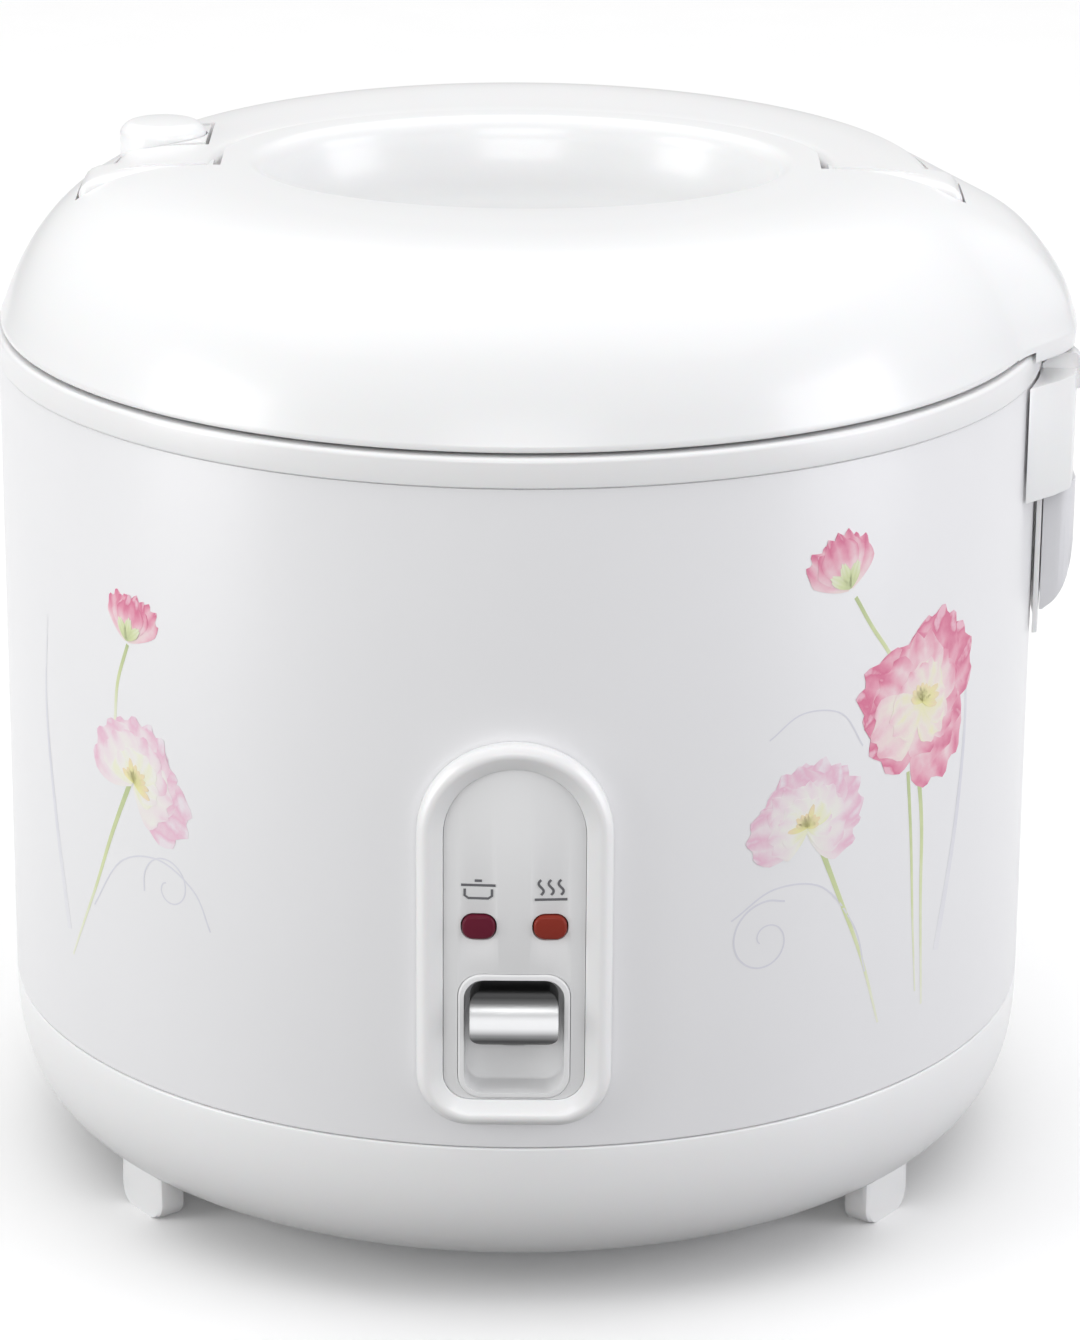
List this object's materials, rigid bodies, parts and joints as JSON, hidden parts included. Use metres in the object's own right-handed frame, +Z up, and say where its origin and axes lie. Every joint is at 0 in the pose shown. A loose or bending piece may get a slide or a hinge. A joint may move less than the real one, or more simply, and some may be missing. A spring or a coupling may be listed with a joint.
{
  "type": "rice cooker",
  "caption": "Round rice cooker with a sideways-opening domed lid, folding carry handle, release button, dew collector, inner pot and a front panel with a cook switch and two lamps.",
  "frame": {"origin": "on the table, under the middle of the object's box", "axes": "+Z up, -Y towards the control panel, +X towards the lid hinge and dew collector"},
  "size_m": [0.2594, 0.2576, 0.2482],
  "materials": {
    "painted": "smooth printed coating over steel sheet",
    "gloss": "moulded, gloss",
    "panel": "satin light grey",
    "silver": "metallic silver paint on moulded plastic",
    "cook_lens": "dark red, slightly clear",
    "warm_lens": "orange red, slightly clear",
    "smoke": "translucent smoke grey",
    "aluminium": "cast or pressed, satin",
    "nonstick": "grey nonstick coating on aluminium",
    "steel": "zinc plated sheet and wire",
    "silicone": "soft, matt",
    "black": "matt black",
    "brass": "plain",
    "lamp_glass": "clear lamp glass",
    "board": "phenolic board"
  },
  "bodies": {
    "body": {"outer_shell": "painted", "shoulder_ring": "gloss", "base_shell": "gloss", "control_bezel": "gloss", "hinge_bracket": "gloss", "foot_front_left": "gloss", "foot_front_right": "gloss", "foot_rear_right": "gloss", "foot_rear_left": "gloss", "control_face": "panel", "switch_well": "panel", "cook_lens": "cook_lens", "warm_lens": "warm_lens", "heater_plate": "aluminium", "inner_pot": "nonstick", "bottom_cover": "steel", "cover_screw_1": "steel", "cover_screw_2": "steel", "cover_screw_3": "steel", "cover_screw_4": "steel", "lever_bracket": "steel", "lever_pin": "steel", "inner_wall": "steel", "heater_element": "steel", "thermostat_housing": "steel", "sensor_spring": "steel", "hinge_pin": "steel", "hinge_spring": "steel", "latch_catch": "steel", "side_heater_band": "silicone", "microswitch": "black", "inlet_housing": "black", "thermal_fuse": "brass", "inlet_pin_left": "brass", "inlet_pin_right": "brass", "cook_lamp": "lamp_glass", "warm_lamp": "lamp_glass", "lamp_board": "board"},
    "lid": {"outer_lid": "gloss", "lid_base": "gloss", "lid_hinge_arm": "steel", "inner_lid": "aluminium", "inner_lid_gasket": "silicone", "inner_lid_holder": "silicone", "steam_vent_tube": "silicone", "handle_pin_left": "steel", "handle_pin_right": "steel", "release_spring": "steel", "latch_pin": "steel"},
    "handle": {"carry_handle": "gloss"},
    "release": {"release_button": "gloss"},
    "latch": {"latch_hook": "steel"},
    "vent": {"steam_vent_cap": "gloss"},
    "dew_cup": {"dew_collector": "smoke"},
    "cook_switch": {"switch_knob": "silver"},
    "lever": {"switch_lever": "steel"},
    "magnet": {"thermostat_magnet": "black"},
    "sensor": {"sensor_cap": "aluminium", "sensor_ferrite": "black"}
  },
  "joints": [
    {"name": "lid_hinge", "type": "hinge", "parent": "body", "child": "lid", "pos_m": [0.12495, 0.00065, 0.199], "axis": [0, 1, 0], "range_deg": [0, 95]},
    {"name": "handle_fold", "type": "hinge", "parent": "lid", "child": "handle", "pos_m": [-0.00425, 0.00065, 0.2375], "axis": [1, 0, 0], "range_deg": [0, 90]},
    {"name": "release_press", "type": "slide", "parent": "lid", "child": "release", "axis": [0, 0, -1], "range_m": [0, 0.003], "stiffness_N_per_m": 300, "springref_m": -0.002, "deforming": ["release_spring"]},
    {"name": "latch_turn", "type": "hinge", "parent": "lid", "child": "latch", "pos_m": [-0.10825, 0.02965, 0.219], "axis": [0, 1, 0], "range_deg": [0, 10.8]},
    {"name": "vent_lift", "type": "slide", "parent": "lid", "child": "vent", "axis": [0, 0, 1], "range_m": [0, 0.02]},
    {"name": "dew_collector_slide", "type": "slide", "parent": "body", "child": "dew_cup", "axis": [0, 0, -1], "range_m": [0, 0.025]},
    {"name": "switch_press", "type": "slide", "parent": "body", "child": "cook_switch", "axis": [0, 0, -1], "range_m": [0, 0.007], "stiffness_N_per_m": 150, "springref_m": -0.004},
    {"name": "lever_tilt", "type": "hinge", "parent": "body", "child": "lever", "pos_m": [-0.00425, -0.04735, 0.046], "axis": [1, 0, 0], "range_deg": [0, 6.5]},
    {"name": "magnet_rise", "type": "slide", "parent": "body", "child": "magnet", "axis": [0, 0, 1], "range_m": [0, 0.0055]},
    {"name": "sensor_press", "type": "slide", "parent": "body", "child": "sensor", "axis": [0, 0, -1], "range_m": [0, 0.002], "stiffness_N_per_m": 500, "springref_m": -0.004, "deforming": ["sensor_spring"]}
  ],
  "couplings": [
    {"joint": "latch_turn", "follows": "release_press", "rad_per_m": 62.5},
    {"joint": "lever_tilt", "follows": "switch_press", "rad_per_m": 16.13},
    {"joint": "magnet_rise", "follows": "switch_press", "ratio": 0.774}
  ]
}
